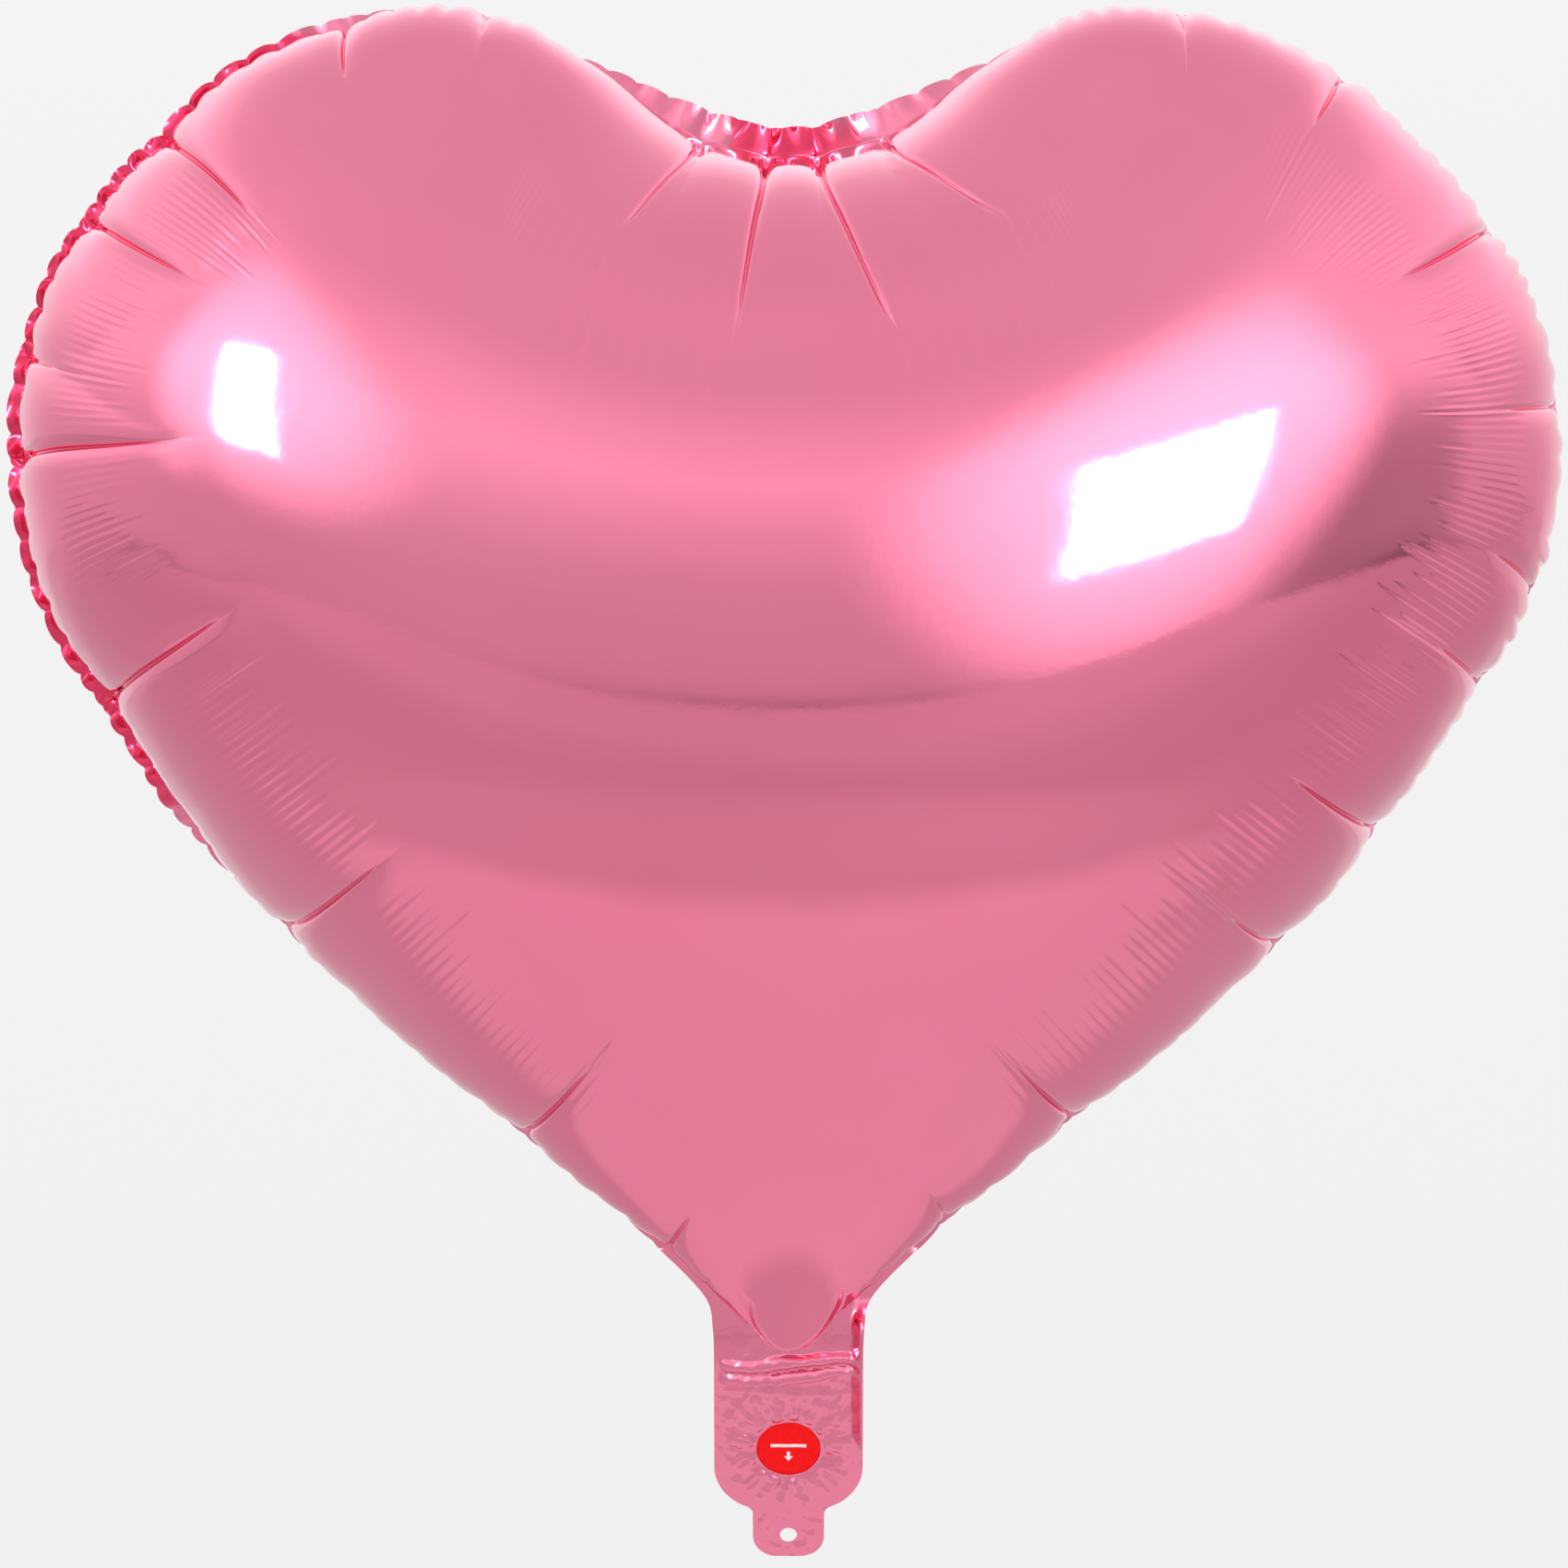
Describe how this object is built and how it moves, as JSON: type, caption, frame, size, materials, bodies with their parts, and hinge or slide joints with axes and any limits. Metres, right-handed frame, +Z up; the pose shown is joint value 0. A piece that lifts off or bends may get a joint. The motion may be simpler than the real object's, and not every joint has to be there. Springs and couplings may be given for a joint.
{
  "type": "foil balloon",
  "caption": "Inflated heart-shaped foil balloon: two heat-sealed metallised films, a folding tail with a self-sealing filling valve, and a ribbon tab with a punched hole.",
  "frame": {"origin": "middle of the fold at the neck, where the tail meets the heart", "axes": "+X to the right as the front is seen, +Y to the back through the thickness, +Z up from the neck to the notch; the front is -Y"},
  "size_m": [0.3776, 0.204, 0.3819],
  "materials": {
    "pink_foil": "mirror-bright metallised film, pink",
    "valve_film": "clear smooth film",
    "mark_ink": "flat red print with a plain white bar and arrow"
  },
  "bodies": {
    "envelope": {"front_foil_panel": "pink_foil", "back_foil_panel": "pink_foil"},
    "tail": {"tail_front_foil": "pink_foil", "tail_back_foil": "pink_foil", "valve_front_strip": "valve_film", "valve_back_strip": "valve_film", "inlet_mark": "mark_ink"},
    "ribbon_tab": {"tab_front_foil": "pink_foil", "tab_back_foil": "pink_foil"},
    "front_lip": {"valve_front_lip": "valve_film"},
    "back_lip": {"valve_back_lip": "valve_film"}
  },
  "joints": [
    {"name": "tail_fold", "type": "hinge", "parent": "envelope", "child": "tail", "pos_m": [0, 0, 0], "axis": [1, 0, 0], "range_deg": [-128, 62]},
    {"name": "tab_fold", "type": "hinge", "parent": "tail", "child": "ribbon_tab", "pos_m": [0, 0.02723, -0.04193], "axis": [1, 0, 0], "range_deg": [-90, 90]},
    {"name": "front_lip_opening", "type": "hinge", "parent": "envelope", "child": "front_lip", "pos_m": [0, -0.00013, 0.0012], "axis": [1, 0, 0], "range_deg": [0, 2.5], "stiffness_Nm_per_rad": 0.002},
    {"name": "back_lip_opening", "type": "hinge", "parent": "envelope", "child": "back_lip", "pos_m": [0, 0.00013, 0.0012], "axis": [1, 0, 0], "range_deg": [-2.5, 0], "stiffness_Nm_per_rad": 0.002}
  ],
  "couplings": [
    {"joint": "back_lip_opening", "follows": "front_lip_opening", "ratio": -1}
  ]
}
